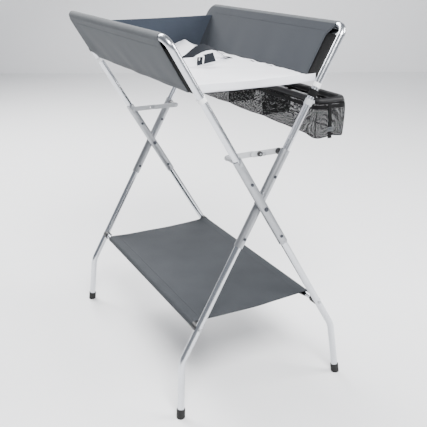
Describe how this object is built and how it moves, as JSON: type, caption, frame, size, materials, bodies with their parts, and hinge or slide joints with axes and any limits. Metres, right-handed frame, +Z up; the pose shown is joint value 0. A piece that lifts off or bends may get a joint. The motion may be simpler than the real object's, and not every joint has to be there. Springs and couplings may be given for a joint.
{
  "type": "changing table",
  "caption": "Folding changing table on a crossed tube frame, with a fabric tray, padded mat and waist belt, a fabric shelf and a mesh side basket.",
  "frame": {"origin": "centre of the footprint's bounding box, on the floor", "axes": "+X across the table towards the basket, +Y along it towards the end with the upright panel, +Z up"},
  "size_m": [0.5274, 0.8202, 1.0112],
  "materials": {
    "tube": "bright anodised tube",
    "sleeve": "satin grey tube",
    "steel": "zinc plated",
    "black_plastic": "moulded",
    "grey_plastic": "moulded",
    "white_plastic": "moulded",
    "foot_rubber": "moulded",
    "panel_cloth": "coated woven polyester",
    "shelf_cloth": "coated woven polyester",
    "binding": "woven tape",
    "mat_vinyl": "padded vinyl",
    "floor_cloth": "coated woven polyester",
    "webbing": "woven webbing",
    "mesh": "knitted mesh"
  },
  "bodies": {
    "left_frame": {"top_hoop_left": "tube", "sleeve_near_left": "sleeve", "sleeve_far_left": "sleeve", "lower_leg_near_left": "tube", "lower_leg_far_left": "tube", "foot_cap_near_left": "foot_rubber", "foot_cap_far_left": "foot_rubber", "leg_rivets_left": "steel", "pivot_bolt_near": "steel", "pivot_spacer_near": "black_plastic", "shelf_tube_right": "tube", "shelf_plugs_right": "black_plastic", "shelf_screws_right": "steel", "brace_pins_left": "steel", "brace_blocks_left": "black_plastic", "side_panel_left": "panel_cloth", "panel_binding_left": "binding", "tray_clips_left": "grey_plastic", "tray_floor": "floor_cloth", "changing_mat": "mat_vinyl", "end_panel": "panel_cloth", "shelf_cloth_panel": "shelf_cloth", "belt_strap": "webbing", "belt_buckle": "white_plastic"},
    "right_frame": {"pivot_bolt_far": "steel", "pivot_spacer_far": "black_plastic", "top_hoop_right": "tube", "sleeve_near_right": "sleeve", "sleeve_far_right": "sleeve", "lower_leg_near_right": "tube", "lower_leg_far_right": "tube", "foot_cap_near_right": "foot_rubber", "foot_cap_far_right": "foot_rubber", "leg_rivets_right": "steel", "shelf_tube_left": "tube", "shelf_plugs_left": "black_plastic", "shelf_screws_left": "steel", "brace_pins_right": "steel", "brace_blocks_right": "black_plastic", "side_panel_right": "panel_cloth", "panel_binding_right": "binding", "tray_clips_right": "grey_plastic", "basket_rim": "binding", "basket_bag": "mesh", "basket_dividers": "mesh", "basket_hooks": "grey_plastic", "basket_loops": "binding", "basket_strap": "binding"},
    "brace_near_left": {"brace_arm_near_left": "steel", "brace_rivet_near": "steel"},
    "brace_near_right": {"brace_arm_near_right": "steel"},
    "brace_far_left": {"brace_arm_far_left": "steel"},
    "brace_far_right": {"brace_arm_far_right": "steel", "brace_rivet_far": "steel"},
    "lock": {"lock_knob": "black_plastic", "lock_pin": "steel", "pull_ring": "steel"}
  },
  "joints": [
    {"name": "fold", "type": "hinge", "parent": "left_frame", "child": "right_frame", "pos_m": [0, 0, 0.56], "axis": [0, -1, 0], "range_deg": [0, 52], "deforming": ["tray_floor", "changing_mat", "end_panel", "shelf_cloth_panel", "belt_strap", "belt_buckle"]},
    {"name": "brace_near_left_fold", "type": "hinge", "parent": "left_frame", "child": "brace_near_left", "pos_m": [-0.07416, 0, 0.68923], "axis": [0, -1, 0], "range_deg": [-56.75, 0]},
    {"name": "brace_near_right_fold", "type": "hinge", "parent": "right_frame", "child": "brace_near_right", "pos_m": [0.07416, 0, 0.68923], "axis": [0, -1, 0], "range_deg": [0, 56.75]},
    {"name": "brace_far_left_fold", "type": "hinge", "parent": "left_frame", "child": "brace_far_left", "pos_m": [-0.07416, 0, 0.68923], "axis": [0, -1, 0], "range_deg": [-56.75, 0]},
    {"name": "brace_far_right_fold", "type": "hinge", "parent": "right_frame", "child": "brace_far_right", "pos_m": [0.07416, 0, 0.68923], "axis": [0, -1, 0], "range_deg": [0, 56.75]},
    {"name": "lock_pull", "type": "slide", "parent": "brace_near_right", "child": "lock", "axis": [0, -1, 0], "range_m": [0, 0.0055], "stiffness_N_per_m": 800, "springref_m": -0.002}
  ],
  "couplings": [
    {"joint": "brace_near_left_fold", "follows": "fold", "ratio": -1.0817},
    {"joint": "brace_near_right_fold", "follows": "fold", "ratio": 1.0817},
    {"joint": "brace_far_left_fold", "follows": "fold", "ratio": -1.0817},
    {"joint": "brace_far_right_fold", "follows": "fold", "ratio": 1.0817}
  ]
}
